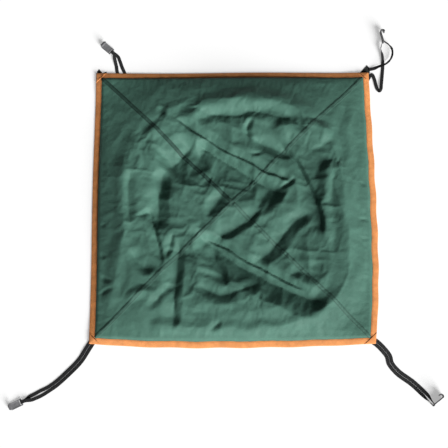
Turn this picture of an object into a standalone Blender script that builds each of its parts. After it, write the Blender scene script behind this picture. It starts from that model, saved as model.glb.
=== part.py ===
"""A square four-panel rope sheet with a hooked elastic loop at each corner.

Four triangles of coated cloth are sewn together along the two diagonals, so the middle stands up
as a shallow hip roof. Binding tape runs round the rim. A doubled loop of flat elastic is sewn in
at each corner, and a moulded hook hangs on the bar end of each loop.

Metres, +Z up. The origin is at the middle of the sheet, on the floor that it lies on. +Y is
north, and the corners are named ne, nw, sw and se.
"""
import math

import bmesh
import bpy
from mathutils import Matrix, Vector

# Driving dimensions
SIDE = 0.790            # across the sheet, over the binding
RISE = 0.048            # the middle above the rim
GAP = 0.0003            # between pieces that touch

PATCH = 0.0010          # thickness of a corner patch, which lies on the floor
CLOTH = 0.0008          # panel
TAPE = 0.0007           # binding tape
TAPE_REACH = 0.016      # binding, from the rim inwards
SEAM = 0.0006           # seam band
SEAM_WIDTH = 0.011
SEAM_LIFT = 0.0002      # extra room between a seam band and the cloth
MITRE = 0.0006          # half the gap between two bindings at a corner
HIP = 0.0003            # half the gap between two panels at a seam

WEB_WIDTH = 0.010       # flat elastic
WEB = 0.0013

BAR = 0.0040            # diameter of a hook's bar
HOOK_WIDTH = 0.020
HOOK = 0.0030           # thickness of its plate
SLOT_WIDTH = 0.013
SLOT_END = 0.0053       # from the bar's axis to the far side of the slot
SHANK_END = 0.0310      # from the bar's axis to the start of the curl
CURL = 0.0055           # radius of the curl, to the middle of its thickness
CURL_TURN = 205.0       # degrees
HOOK_DIP = 3.0          # degrees that a hook on its back leans down to the floor
NOSE = 0.0095           # length of the round end of a hook, seen from above
CURL_STEPS = 10         # flats round the curl, and round the nose

FOLD_LEG = 0.031        # of the tape folded over a corner, along the rim
TACK_LENGTH = 0.022     # bar tack across the fold
TACK_WIDTH = 0.0016
TACK_THICKNESS = 0.0006
TACK_INSIDE = 0.0012    # from the fold's free edge to the tack

CLIMB_END = 0.044       # elastic is up on its patch within this distance of its corner's pivot
CLIMB_START = 0.060     # and on the floor from this one on
SPAN_STEPS = 4          # stations of elastic for each span of its route
TURN_STEPS = 8          # and round a bar
LEVEL = 0.35            # least level share of a run, for it to set the side of the elastic
MERGE = 1e-6            # points closer than this are one
CUT_DEPTH = 0.044       # of the tool that gives a hook its outline

HALF = SIDE / 2
WEB_LOW = GAP + WEB / 2                     # height of elastic that lies on the floor
WEB_ROOT = PATCH + GAP + WEB / 2            # and of elastic between a patch and the binding
LEAF_LOW = PATCH + WEB + 3 * GAP + TAPE / 2
CLOTH_RIM = LEAF_LOW + TAPE / 2 + GAP + CLOTH / 2
LEAF_TOP = CLOTH_RIM + CLOTH / 2 + GAP + TAPE / 2
WRAP = BAR / 2 + GAP + WEB / 2              # from a bar's axis to the middle of the elastic
BAR_LOW = WEB_LOW + WRAP                    # height of a bar that lies on its elastic
BAR_SIDE = GAP + HOOK_WIDTH / 2             # height of the middle of a hook on its side
ROOT = HALF - 0.012                         # of each corner's pivot, along x and y

# Distance in from the rim, and height over the rim as a share of the rise
SLOPE = ((TAPE_REACH + 0.002, 0.0), (0.105, 0.62), (0.225, 0.88), (HALF, 1.0))

CORNERS = {"ne": (1, 1), "nw": (-1, 1), "sw": (-1, -1), "se": (1, -1)}
SIDES = {"east": 0, "north": 90, "west": 180, "south": 270}
# Name of each seam band, its direction, and whether it runs on past the middle
SEAMS = (("seam_long", 45, True), ("seam_northwest", 135, False), ("seam_southeast", -45, False))

# Outline of each corner patch. The ones to the north show past the rim.
PATCHES = {
    "ne": ((0.363, 0.388), (0.392, 0.420), (0.402, 0.409), (0.3925, 0.362), (0.362, 0.362)),
    "nw": ((-0.3925, 0.362), (-0.394, 0.402), (-0.388, 0.410), (-0.378, 0.398),
           (-0.366, 0.402), (-0.358, 0.362)),
    "sw": ((-0.3925, -0.360), (-0.360, -0.360), (-0.360, -0.3925), (-0.3925, -0.3925)),
    "se": ((0.3925, -0.360), (0.360, -0.360), (0.360, -0.3925), (0.3925, -0.3925)),
}

# Middle line of each pair of legs, from the corner to the hook's bar
SPINES = {
    "sw": ((-0.383, -0.383), (-0.398, -0.408), (-0.420, -0.443), (-0.450, -0.475),
           (-0.490, -0.511), (-0.530, -0.535), (-0.560, -0.549), (-0.576, -0.556)),
    "nw": ((-0.383, 0.383), (-0.379, 0.352), (-0.362, 0.326), (-0.334, 0.314), (-0.309, 0.322),
           (-0.302, 0.346), (-0.312, 0.372), (-0.325, 0.400), (-0.333, 0.428),
           (-0.342, 0.453), (-0.352, 0.462)),
    "se": ((0.383, -0.383), (0.400, -0.395), (0.415, -0.410), (0.430, -0.430),
           (0.435, -0.450), (0.455, -0.475), (0.495, -0.505), (0.525, -0.535),
           (0.548, -0.564)),
}
# Half of the room between the middles of the legs, by distance from the bar
SPREADS = {
    "sw": ((0.0, 0.0), (0.008, 0.0006), (0.030, 0.0060), (0.058, 0.0066), (0.085, 0.0052)),
    "nw": ((0.0, 0.0), (0.008, 0.0006), (0.026, 0.0062), (0.045, 0.0072), (0.072, 0.0098),
           (0.105, 0.0052)),
    "se": ((0.0, WRAP), (0.008, 0.0033), (0.030, 0.0052), (0.060, 0.0052)),
}
# The two legs of the north-east loop go their own ways: x, y, height and roll in degrees
NE_BAR = (0.441, 0.488)
NE_OUT = (
    (0.379, 0.387, 0, 0), (0.364, 0.369, 0, 0), (0.356, 0.345, 0, 0), (0.368, 0.336, 0, 0),
    (0.383, 0.351, 0, 0), (0.396, 0.379, 0, 0), (0.406, 0.390, 0, 0), (0.413, 0.374, 0, 0),
    (0.417, 0.356, 0, 0), (0.421, 0.345, 0.0004, 0), (0.426, 0.340, 0.0022, 0),
    (0.430, 0.345, 0.0042, 0), (0.432, 0.360, 0.0030, 0), (0.435, 0.385, 0.0004, 0),
    (0.438, 0.415, 0, 0), (0.438, 0.445, 0.0020, 30), (0.433, 0.470, 0.0072, 75),
)
NE_BACK = (
    (0.456, 0.481, 0.0085, 90), (0.466, 0.465, 0.0082, 66), (0.464, 0.442, 0.0074, 56),
    (0.449, 0.423, 0.0066, 45), (0.427, 0.414, 0.0050, 25), (0.411, 0.408, 0.0018, 0),
    (0.397, 0.406, 0, 0),
)
# Heading of each hook, and its roll: 0 on its back, 90 and -90 on a side
HOOK_HEADINGS = {"ne": 104.0, "nw": 139.0, "sw": 206.0, "se": 38.0}
HOOK_ROLLS = {"ne": 90.0, "nw": 0.0, "sw": 0.0, "se": -90.0}

GREEN = (0.030, 0.075, 0.058, 1)
DARK_GREEN = (0.024, 0.060, 0.047, 1)
ORANGE = (0.80, 0.22, 0.06, 1)
BLACK = (0.012, 0.012, 0.013, 1)
GREY = (0.16, 0.16, 0.17, 1)
BROWN = (0.20, 0.06, 0.02, 1)


def new_collection(name):
    collection = bpy.data.collections.new(name)
    bpy.context.scene.collection.children.link(collection)
    return collection


def make_material(name, colour, roughness):
    material = bpy.data.materials.new(name)
    material.use_nodes = True
    shader = material.node_tree.nodes["Principled BSDF"]
    shader.inputs["Base Color"].default_value = colour
    shader.inputs["Roughness"].default_value = roughness
    shader.inputs["Metallic"].default_value = 0.0
    return material


def add_object(name, data, material, collection):
    part = bpy.data.objects.new(name, data)
    data.materials.append(material)
    collection.objects.link(part)
    return part


def mesh_from(name, bm):
    """Close a bmesh into a mesh."""
    mesh = bpy.data.meshes.new(name)
    bm.to_mesh(mesh)
    bm.free()
    return mesh


def thicken(part, thickness):
    shell = part.modifiers.new("thickness", "SOLIDIFY")
    shell.thickness = thickness
    shell.offset = 0
    shell.use_even_offset = True


def outline_curve(name, outline, thickness):
    """A filled outline in the XY plane."""
    curve = bpy.data.curves.new(name, "CURVE")
    curve.dimensions = "2D"
    curve.fill_mode = "BOTH"
    curve.extrude = thickness / 2
    spline = curve.splines.new("POLY")
    spline.points.add(len(outline) - 1)
    for point, (x, y) in zip(spline.points, outline):
        point.co = (x, y, 0, 1)
    spline.use_cyclic_u = True
    return curve


def flat_piece(name, outline, thickness, height, material, collection):
    """A flat outline, cut from sheet."""
    part = add_object(name, outline_curve(name, outline, thickness), material, collection)
    part.location.z = height


# The sheet

def cloth_height(inward):
    """Height of the cloth at a distance in from the rim."""
    knots = ((0.0, 0.0),) + SLOPE
    for (near, low), (far, high) in zip(knots, knots[1:]):
        if inward <= far:
            share = (inward - near) / (far - near)
            return CLOTH_RIM + RISE * (low + share * (high - low))
    return CLOTH_RIM + RISE


def swept_side(profile, half_length, gap):
    """An open surface along the east side, cut to the two diagonals with a gap.

    The profile is a list of distance in from the rim and height.
    """
    bm = bmesh.new()
    rows = [[bm.verts.new((HALF - inward, end * half_length, height)) for inward, height in profile]
            for end in (-1, 1)]
    for i in range(len(profile) - 1):
        bm.faces.new((rows[0][i], rows[1][i], rows[1][i + 1], rows[0][i + 1]))
    for turn in (1, -1):
        outward = Vector((-1, turn, 0)).normalized()
        bmesh.ops.bisect_plane(bm, geom=bm.verts[:] + bm.edges[:] + bm.faces[:], dist=1e-7,
                               plane_co=outward * -gap, plane_no=outward, clear_outer=True)
    bmesh.ops.remove_doubles(bm, verts=bm.verts, dist=MERGE)
    bmesh.ops.recalc_face_normals(bm, faces=bm.faces)
    return bm


def make_panels(collection):
    green = make_material("coated_cloth", GREEN, 0.55)
    profile = [(TAPE + GAP, CLOTH_RIM)]
    profile += [(inward, cloth_height(inward)) for inward, _ in SLOPE]
    for side, turn in SIDES.items():
        mesh = mesh_from("panel", swept_side(profile, SIDE, HIP))
        panel = add_object("panel_" + side, mesh, green, collection)
        panel.rotation_euler.z = math.radians(turn)
        thicken(panel, CLOTH)


def make_bindings(collection):
    orange = make_material("binding_tape", ORANGE, 0.7)
    fold = TAPE / 2
    profile = ((TAPE_REACH, LEAF_TOP), (fold, LEAF_TOP), (fold, LEAF_LOW), (TAPE_REACH, LEAF_LOW))
    for side, turn in SIDES.items():
        mesh = mesh_from("binding", swept_side(profile, SIDE, MITRE))
        binding = add_object("binding_" + side, mesh, orange, collection)
        binding.rotation_euler.z = math.radians(turn)
        thicken(binding, TAPE)


def make_seams(collection):
    """Folded seam bands over the diagonals: one whole, and two that end against it."""
    green = make_material("seam_band", DARK_GREEN, 0.55)
    half = SEAM_WIDTH / 2
    lift = CLOTH / 2 + SEAM / 2 + GAP + SEAM_LIFT
    knots = [TAPE_REACH + 3 * GAP] + [inward for inward, _ in SLOPE[:-1]]
    for name, turn, whole in SEAMS:
        bm = bmesh.new()
        rows = []
        for across in (-half, 0.0, half):
            along = [(HALF - inward) * math.sqrt(2) - abs(across) for inward in knots]
            along += [0.0] + [-s for s in reversed(along)] if whole else [half + 2 * GAP]
            row = []
            for s in along:
                reach = (abs(s) + abs(across)) / math.sqrt(2)
                row.append(bm.verts.new((s, across, cloth_height(HALF - reach) + lift)))
            rows.append(row)
        for low, high in zip(rows, rows[1:]):
            for i in range(len(low) - 1):
                bm.faces.new((low[i], low[i + 1], high[i + 1], high[i]))
        bmesh.ops.recalc_face_normals(bm, faces=bm.faces)
        part = add_object(name, mesh_from(name, bm), green, collection)
        part.rotation_euler.z = math.radians(turn)
        thicken(part, SEAM)


def make_corners(collection):
    """Patch under each corner, folded tape over it, and the bar tack across the fold."""
    black = make_material("corner_patch", BLACK, 0.8)
    orange = make_material("corner_fold", ORANGE, 0.7)
    brown = make_material("bar_tack", BROWN, 0.8)
    fold_height = LEAF_TOP + TAPE + GAP
    tack_height = fold_height + TAPE / 2 + GAP + TACK_THICKNESS / 2
    in_from_corner = FOLD_LEG / 2 - TACK_INSIDE
    for corner, (east, north) in CORNERS.items():
        flat_piece("corner_patch_" + corner, PATCHES[corner], PATCH, PATCH / 2, black, collection)
        outline = ((east * HALF, north * HALF), (east * (HALF - FOLD_LEG), north * HALF),
                   (east * HALF, north * (HALF - FOLD_LEG)))
        flat_piece("corner_fold_" + corner, outline, TAPE, fold_height, orange, collection)

        bm = bmesh.new()
        bmesh.ops.create_cube(bm, size=1.0)
        bmesh.ops.scale(bm, vec=(TACK_LENGTH, TACK_WIDTH, TACK_THICKNESS), verts=bm.verts)
        tack = add_object("bar_tack_" + corner, mesh_from("bar_tack", bm), brown, collection)
        tack.location = (east * (HALF - in_from_corner), north * (HALF - in_from_corner),
                         tack_height)
        tack.rotation_euler.z = math.radians(-45 * east * north)


# The elastic loops

def blend(table, at):
    """Smooth value from a table of (distance, value)."""
    if at >= table[-1][0]:
        return table[-1][1]
    for (near, low), (far, high) in zip(table, table[1:]):
        if at <= far:
            share = (at - near) / (far - near)
            return low + (high - low) * share * share * (3 - 2 * share)
    return table[-1][1]


def smooth(points, steps):
    """Read a smooth curve through the points: centripetal Catmull-Rom, evenly spaced in a span."""
    points = [Vector(p) for p in points]
    ends = [2 * points[0] - points[1]] + points + [2 * points[-1] - points[-2]]
    curve = []
    for p0, p1, p2, p3 in zip(ends, ends[1:], ends[2:], ends[3:]):
        t = [0.0]
        for a, b in ((p0, p1), (p1, p2), (p2, p3)):
            t.append(t[-1] + max((b - a).length, 1e-9) ** 0.5)
        for step in range(steps):
            now = t[1] + (t[2] - t[1]) * step / steps
            a1 = p0.lerp(p1, (now - t[0]) / (t[1] - t[0]))
            a2 = p1.lerp(p2, (now - t[1]) / (t[2] - t[1]))
            a3 = p2.lerp(p3, (now - t[2]) / (t[3] - t[2]))
            b1 = a1.lerp(a2, (now - t[0]) / (t[2] - t[0]))
            b2 = a2.lerp(a3, (now - t[1]) / (t[3] - t[1]))
            curve.append(b1.lerp(b2, (now - t[1]) / (t[2] - t[1])))
    return curve + [points[-1]]


def root_height(x, y, height):
    """Elastic climbs over the patch near its corner, and lies on the floor further out."""
    reach = math.hypot(abs(x) - ROOT, abs(y) - ROOT)
    climb = WEB_ROOT - WEB_LOW
    return height + blend(((CLIMB_END, climb), (CLIMB_START, 0.0)), max(reach, CLIMB_END))


def leg_stations(corner, on_side):
    """Two legs beside a spine: stations of x, y, height and roll, from the corner to the bar."""
    spine = smooth([(x, y, 0) for x, y in SPINES[corner]], SPAN_STEPS)
    to_go = [0.0]
    for a, b in zip(reversed(spine), reversed(spine[:-1])):
        to_go.append(to_go[-1] + (a - b).length)
    to_go.reverse()
    legs = {}
    for hand in (1, -1):
        legs[hand] = []
        for i, point in enumerate(spine):
            ahead = spine[min(i + 1, len(spine) - 1)] - spine[max(i - 1, 0)]
            left = Vector((-ahead.y, ahead.x, 0)).normalized()
            away = blend(SPREADS[corner], to_go[i])
            x, y, _ = point + left * (hand * away)
            if on_side:
                lift = blend(((0.0, BAR_SIDE - WEB_LOW), (0.070, 0.0)), to_go[i])
                roll = blend(((0.004, 90.0), (0.048, 0.0)), max(to_go[i], 0.004))
            else:
                top = 2 * WRAP if hand == 1 else 0.0
                lift = blend(((0.004, top), (0.054, 0.0)), max(to_go[i], 0.004))
                roll = 0.0
            legs[hand].append((x, y, root_height(x, y, WEB_LOW + lift), roll))
    return legs[1], legs[-1]


def turn_stations(bar, heading, on_side):
    """Half a turn of elastic round a bar: on its side about Z, on its back over and under."""
    forward = Vector((math.cos(heading), math.sin(heading), 0))
    left = Vector((-forward.y, forward.x, 0))
    up = Vector((0, 0, 1))
    stations = []
    for step in range(1, TURN_STEPS):
        angle = math.pi * step / TURN_STEPS
        start = left if on_side else up
        point = bar + (start * math.cos(angle) + forward * math.sin(angle)) * WRAP
        stations.append((*point, 90.0 if on_side else 0.0))
    return stations


def make_ribbon(name, stations, material, collection):
    """Flat elastic through its stations: a lofted strip with round edges.

    Its width lies level and square to the run, and keeps its side where the run turns over.
    Roll turns the width about the run.
    """
    bevel = WEB * 0.3
    wide, thick = WEB_WIDTH / 2, WEB / 2
    corner = ((wide, thick - bevel), (wide - bevel, thick))
    section = [*corner, *((-w, t) for w, t in reversed(corner))]
    section += [(-w, -t) for w, t in section]
    centre = [Vector(s[:3]) for s in stations]
    bm = bmesh.new()
    rings = []
    side = None
    for i, point in enumerate(centre):
        run = (centre[min(i + 1, len(centre) - 1)] - centre[max(i - 1, 0)]).normalized()
        level = Vector((-run.y, run.x, 0))
        if side is None:
            side = level.normalized()
        elif level.length > LEVEL:
            side = level.normalized() * (1 if level.dot(side) >= 0 else -1)
        side = (side - run * side.dot(run)).normalized()
        roll = Matrix.Rotation(math.radians(stations[i][3]), 3, run)
        across = roll @ side
        normal = run.cross(across)
        rings.append([bm.verts.new(point + across * w + normal * t) for w, t in section])
    for low, high in zip(rings, rings[1:]):
        for i in range(len(section)):
            j = (i + 1) % len(section)
            bm.faces.new((low[i], low[j], high[j], high[i]))
    bm.faces.new(rings[0])
    bm.faces.new(list(reversed(rings[-1])))
    bmesh.ops.recalc_face_normals(bm, faces=bm.faces)
    mesh = mesh_from(name, bm)
    mesh.shade_smooth()
    mesh.set_sharp_from_angle(angle=math.radians(40))
    return add_object(name, mesh, material, collection)


def roll_near(points, x, y):
    """Roll of a route at a place, by nearness to the route's own points."""
    weights = [(max(math.hypot(p[0] - x, p[1] - y), 1e-5) ** -3, p[3]) for p in points]
    return sum(w * r for w, r in weights) / sum(w for w, _ in weights)


def lone_leg(points):
    """One leg by itself: stations of x, y, height and roll."""
    return [(x, y, root_height(x, y, WEB_LOW + z), roll_near(points, x, y))
            for x, y, z in smooth([p[:3] for p in points], SPAN_STEPS)]


def make_loops(collection):
    """The four loops. Returns each bar's place."""
    black = make_material("elastic", BLACK, 0.75)
    bars = {}
    for corner, spine in SPINES.items():
        on_side = HOOK_ROLLS[corner] != 0
        out, back = leg_stations(corner, on_side)
        bar = Vector((*spine[-1], BAR_SIDE if on_side else BAR_LOW))
        run = bar.xy - smooth([(x, y, 0) for x, y in spine], SPAN_STEPS)[-2].xy
        turn = turn_stations(bar, math.atan2(run.y, run.x), on_side)
        make_ribbon("elastic_" + corner, out + turn + back[::-1], black, collection)
        bars[corner] = bar

    bar = Vector((*NE_BAR, BAR_SIDE))
    turn = turn_stations(bar, math.radians(HOOK_HEADINGS["ne"]), True)
    make_ribbon("elastic_ne", lone_leg(NE_OUT) + turn + lone_leg(NE_BACK), black, collection)
    bars["ne"] = bar
    return bars


# The hooks

def make_hook_mesh():
    """One hook: its bar along Y at the origin, the shank along +X, the curl turning up over it."""
    profile = [(SLOT_END, 0.0), (SHANK_END, 0.0)]
    for step in range(1, CURL_STEPS + 1):
        angle = math.radians(CURL_TURN * step / CURL_STEPS)
        profile.append((SHANK_END + CURL * math.sin(angle), CURL * (1 - math.cos(angle))))
    bm = bmesh.new()
    rows = [[bm.verts.new((x, y, z)) for x, z in profile]
            for y in (-HOOK_WIDTH / 2, HOOK_WIDTH / 2)]
    for i in range(len(profile) - 1):
        bm.faces.new((rows[0][i], rows[0][i + 1], rows[1][i + 1], rows[1][i]))
    return mesh_from("hook_strip", bm)


def plan_cutter(cutters):
    """Outline of the hook from above: square at the bar, round at the curl."""
    tip = SHANK_END + CURL + HOOK / 2 + GAP
    half = HOOK_WIDTH / 2
    outline = [(-BAR / 2, -half), (-BAR / 2, half)]
    for step in range(CURL_STEPS + 1):
        angle = math.radians(90 - 180 * step / CURL_STEPS)
        outline.append((tip - NOSE + NOSE * math.cos(angle), half * math.sin(angle)))
    source = bpy.data.objects.new("plan_source", outline_curve("plan", outline, CUT_DEPTH))
    cutters.objects.link(source)
    bpy.context.view_layer.update()
    evaluated = source.evaluated_get(bpy.context.evaluated_depsgraph_get())
    mesh = bpy.data.meshes.new_from_object(evaluated)
    bm = bmesh.new()
    bm.from_mesh(mesh)
    bmesh.ops.remove_doubles(bm, verts=bm.verts, dist=MERGE)
    bm.to_mesh(mesh)
    bm.free()
    bpy.data.objects.remove(source)
    return hide(bpy.data.objects.new("plan_cutter", mesh), cutters)


def hide(cutter, cutters):
    cutters.objects.link(cutter)
    cutter.hide_render = True
    cutter.display_type = "WIRE"
    return cutter


def eye_mesh():
    """Two cheeks and the bar: the end of the hook that the elastic goes round."""
    cheek = (HOOK_WIDTH - SLOT_WIDTH) / 2
    length = SLOT_END + HOOK / 4            # they run a little way into the plate
    bm = bmesh.new()
    for hand in (-1, 1):
        cube = bmesh.ops.create_cube(bm, size=1.0)["verts"]
        bmesh.ops.scale(bm, vec=(length, cheek, HOOK), verts=cube)
        place = (length / 2, hand * (SLOT_WIDTH + cheek) / 2, 0)
        bmesh.ops.translate(bm, vec=place, verts=cube)
    return mesh_from("eye", bm)


def bar_mesh():
    bm = bmesh.new()
    turn = Matrix.Rotation(math.radians(90), 4, "X")
    bmesh.ops.create_cone(bm, cap_ends=True, segments=16, radius1=BAR / 2, radius2=BAR / 2,
                          depth=HOOK_WIDTH, matrix=turn)
    return mesh_from("bar", bm)


def add_boolean(part, cutter, operation):
    cut = part.modifiers.new(cutter.name, "BOOLEAN")
    cut.operation = operation
    cut.object = cutter
    cut.solver = "EXACT"


def make_hooks(collection, cutters, bars):
    grey = make_material("moulded_plastic", GREY, 0.5)
    strip = make_hook_mesh()
    plan = plan_cutter(cutters)
    eye = hide(bpy.data.objects.new("eye_cutter", eye_mesh()), cutters)
    bar = hide(bpy.data.objects.new("bar_cutter", bar_mesh()), cutters)
    blank = add_object("hook_blank", strip, grey, cutters)
    thicken(blank, HOOK)
    add_boolean(blank, plan, "INTERSECT")
    add_boolean(blank, eye, "UNION")
    add_boolean(blank, bar, "UNION")
    bpy.context.view_layer.update()
    evaluated = blank.evaluated_get(bpy.context.evaluated_depsgraph_get())
    mesh = bpy.data.meshes.new_from_object(evaluated)
    mesh.name = "hook"
    bpy.data.objects.remove(blank)
    for corner, place in bars.items():
        hook = bpy.data.objects.new("hook_" + corner, mesh)
        collection.objects.link(hook)
        hook.location = place
        roll = HOOK_ROLLS[corner]
        dip = 0.0 if roll else HOOK_DIP
        turns = (roll, dip, HOOK_HEADINGS[corner])
        hook.rotation_euler = [math.radians(turn) for turn in turns]


def main():
    for old in list(bpy.data.objects):
        bpy.data.objects.remove(old)
    parts = new_collection("rope_sheet")
    cutters = new_collection("cutters")
    make_panels(parts)
    make_seams(parts)
    make_bindings(parts)
    make_corners(parts)
    bars = make_loops(parts)
    make_hooks(parts, cutters, bars)


main()
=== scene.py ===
"""Looks of the rope sheet: crumpled coated cloth, a bound rim, ribbed elastic and moulded hooks.

Metres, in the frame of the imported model: +Z up, the origin at the middle of the sheet on the
floor, +Y north. The corners are ne, nw, sw and se.
"""
import functools
import math

import bmesh
import bpy
import numpy as np
from mathutils import Matrix, Vector
from mathutils.bvhtree import BVHTree


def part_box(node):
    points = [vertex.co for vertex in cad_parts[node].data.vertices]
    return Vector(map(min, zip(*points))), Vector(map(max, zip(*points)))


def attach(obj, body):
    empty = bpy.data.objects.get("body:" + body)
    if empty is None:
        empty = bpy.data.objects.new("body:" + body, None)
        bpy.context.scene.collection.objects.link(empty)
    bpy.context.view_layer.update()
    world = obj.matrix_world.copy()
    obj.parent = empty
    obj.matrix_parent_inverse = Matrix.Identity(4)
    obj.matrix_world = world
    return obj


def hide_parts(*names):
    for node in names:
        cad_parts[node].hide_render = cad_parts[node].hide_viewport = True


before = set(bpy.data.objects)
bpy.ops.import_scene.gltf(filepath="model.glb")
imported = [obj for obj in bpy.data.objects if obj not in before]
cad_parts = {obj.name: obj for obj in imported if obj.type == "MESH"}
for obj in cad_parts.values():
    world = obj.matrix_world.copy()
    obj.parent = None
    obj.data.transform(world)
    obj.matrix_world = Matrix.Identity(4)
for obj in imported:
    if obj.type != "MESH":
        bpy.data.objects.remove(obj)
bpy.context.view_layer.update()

MM = 0.001
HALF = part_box("binding_east")[1].x          # of the sheet, over the binding
CORNERS = {"ne": (1, 1), "nw": (-1, 1), "sw": (-1, -1), "se": (1, -1)}
SIDES = {"east": 0, "north": 90, "west": 180, "south": 270}

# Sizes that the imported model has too
GAP = 0.0003
PATCH = 0.0010          # thickness of a corner patch
TAPE = 0.0007           # binding tape
TAPE_REACH = 0.016      # binding, from the rim inwards
SEAM_WIDTH = 0.011
WEB_WIDTH = 0.010       # flat elastic
WEB = 0.0013
BAR = 0.0040            # diameter of a hook's bar
HOOK_WIDTH = 0.020
HOOK = 0.0030           # thickness of its plate
SLOT_WIDTH = 0.013
SLOT_END = 0.0053
SHANK_END = 0.0310
CURL = 0.0055           # radius of the curl, to the middle of its thickness
CURL_TURN = 205.0       # degrees
HOOK_DIP = 3.0
WEB_LOW = GAP + WEB / 2
WEB_ROOT = PATCH + GAP + WEB / 2
WRAP = BAR / 2 + GAP + WEB / 2
BAR_LOW = WEB_LOW + WRAP
BAR_SIDE = GAP + HOOK_WIDTH / 2
ROOT = HALF - 0.012     # of each corner's pivot, along x and y

# Sizes of the looks alone
CLOTH = 0.0006
CELLS = 216             # of the cloth, along a side
RIM_LOW = 0.0026        # middle of the cloth at the rim, along the sides
RIM_CORNER = 0.0046     # and at the corners, where it lies on the patch and the elastic
RIM_RISE = 0.0042       # of the cloth across the binding
STITCH = 0.0031         # from one stitch to the next
THREAD = 0.00022        # radius of the sewing thread
SEAM_THREAD = 0.00045   # of the heavier one along the seams
# Greys of the four hooks, one moulding in one plastic: the two on their side (ne, se) are painted
# darker than the two lying flat (nw, sw), as painted shade
HOOK_PAINTED_SHADE_TONES = (("ne", 0.06), ("nw", 0.17), ("sw", 0.17), ("se", 0.06))
# Tones of the seam bands, one cloth: the northwest band is painted much darker as painted shade, the
# southeast band a little lighter than the long one as painted light
SEAM_TONES_PAINTED_LIGHT_AND_SHADE = (("seam_long", (0.052, 0.120, 0.092)), ("seam_northwest", (0.028, 0.068, 0.052)),
              ("seam_southeast", (0.055, 0.127, 0.097)))


# Camera, before anything else

CAMERA_AIM = (-0.023, -0.055, 0.0)
CAMERA_AWAY = 3.5
CAMERA_TILT = 13.5      # degrees from straight down
CAMERA_LEAN = 0.7
CAMERA_TURN = 0.1
LENS = 99.5             # mm

def make_camera():
    """Stand off from the sheet, nearly overhead and a little to the south."""
    turns = [math.radians(angle) for angle in (CAMERA_TILT, CAMERA_LEAN, CAMERA_TURN)]
    stand_off = Matrix.Rotation(turns[2], 3, "Z") @ Matrix.Rotation(turns[1], 3, "Y")
    stand_off = stand_off @ Matrix.Rotation(turns[0], 3, "X") @ Vector((0, 0, CAMERA_AWAY))
    data = bpy.data.cameras.new("camera")
    data.lens = LENS
    data.sensor_width = 36.0
    camera = bpy.data.objects.new("camera", data)
    camera.location = Vector(CAMERA_AIM) + stand_off
    camera.rotation_euler = turns
    bpy.context.scene.collection.objects.link(camera)
    bpy.context.scene.camera = camera


make_camera()


# Materials

class Nodes:
    """A material being built: a Principled shader, and short calls that add nodes to it."""

    def __init__(self, name, colour, roughness, specular=0.5):
        self.material = bpy.data.materials.new(name)
        self.material.use_nodes = True
        self.tree = self.material.node_tree
        self.shader = self.tree.nodes["Principled BSDF"]
        self.shader.inputs["Base Color"].default_value = (*colour, 1)
        self.shader.inputs["Roughness"].default_value = roughness
        self.shader.inputs["Specular IOR Level"].default_value = specular

    def add(self, kind, **values):
        node = self.tree.nodes.new("ShaderNode" + kind)
        for name, value in values.items():
            if name in node.inputs:
                node.inputs[name].default_value = value
            else:
                setattr(node, name, value)
        return node

    def link(self, source, target):
        self.tree.links.new(source, target)

    def place(self, scale=(1, 1, 1), uv=False):
        """Where a point is: in the row frame, or along and across a strip."""
        coordinates = self.add("TexCoord")
        mapping = self.add("Mapping")
        mapping.inputs["Scale"].default_value = scale
        self.link(coordinates.outputs["UV" if uv else "Object"], mapping.inputs["Vector"])
        return mapping.outputs["Vector"]

    def noise(self, vector, scale, detail=2.0, roughness=0.5):
        node = self.add("TexNoise", Scale=scale, Detail=detail, Roughness=roughness)
        self.link(vector, node.inputs["Vector"])
        return node.outputs["Fac"]

    def wave(self, vector, scale, direction, distortion=0.0):
        node = self.add("TexWave", wave_type="BANDS", bands_direction=direction,
                        wave_profile="SIN", Scale=scale, Distortion=distortion)
        self.link(vector, node.inputs["Vector"])
        return node.outputs["Fac"]

    def ramp(self, factor, low, high, low_at=0.0, high_at=1.0):
        node = self.add("ValToRGB")
        ends = node.color_ramp.elements
        ends[0].position, ends[1].position = low_at, high_at
        ends[0].color, ends[1].color = (*low, 1), (*high, 1)
        self.link(factor, node.inputs["Fac"])
        return node.outputs["Color"]

    def span(self, factor, low, high):
        """A factor from 0 to 1, mapped to a range."""
        node = self.add("MapRange")
        node.inputs["To Min"].default_value = low
        node.inputs["To Max"].default_value = high
        self.link(factor, node.inputs["Value"])
        return node.outputs["Result"]

    def combine(self, operation, a, b):
        node = self.add("Math", operation=operation)
        self.link(a, node.inputs[0])
        self.link(b, node.inputs[1])
        return node.outputs["Value"]

    def mix(self, blend_type, factor, a, b):
        node = self.add("MixRGB", blend_type=blend_type, Fac=factor)
        self.link(a, node.inputs["Color1"])
        self.link(b, node.inputs["Color2"])
        return node.outputs["Color"]

    def bump(self, height, depth, after=None):
        node = self.add("Bump", Strength=1.0, Distance=depth)
        self.link(height, node.inputs["Height"])
        if after is not None:
            self.link(after, node.inputs["Normal"])
        return node.outputs["Normal"]

    def finish(self, colour=None, roughness=None, normal=None):
        for name, source in (("Base Color", colour), ("Roughness", roughness), ("Normal", normal)):
            if source is not None:
                self.link(source, self.shader.inputs[name])
        return self.material


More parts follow.
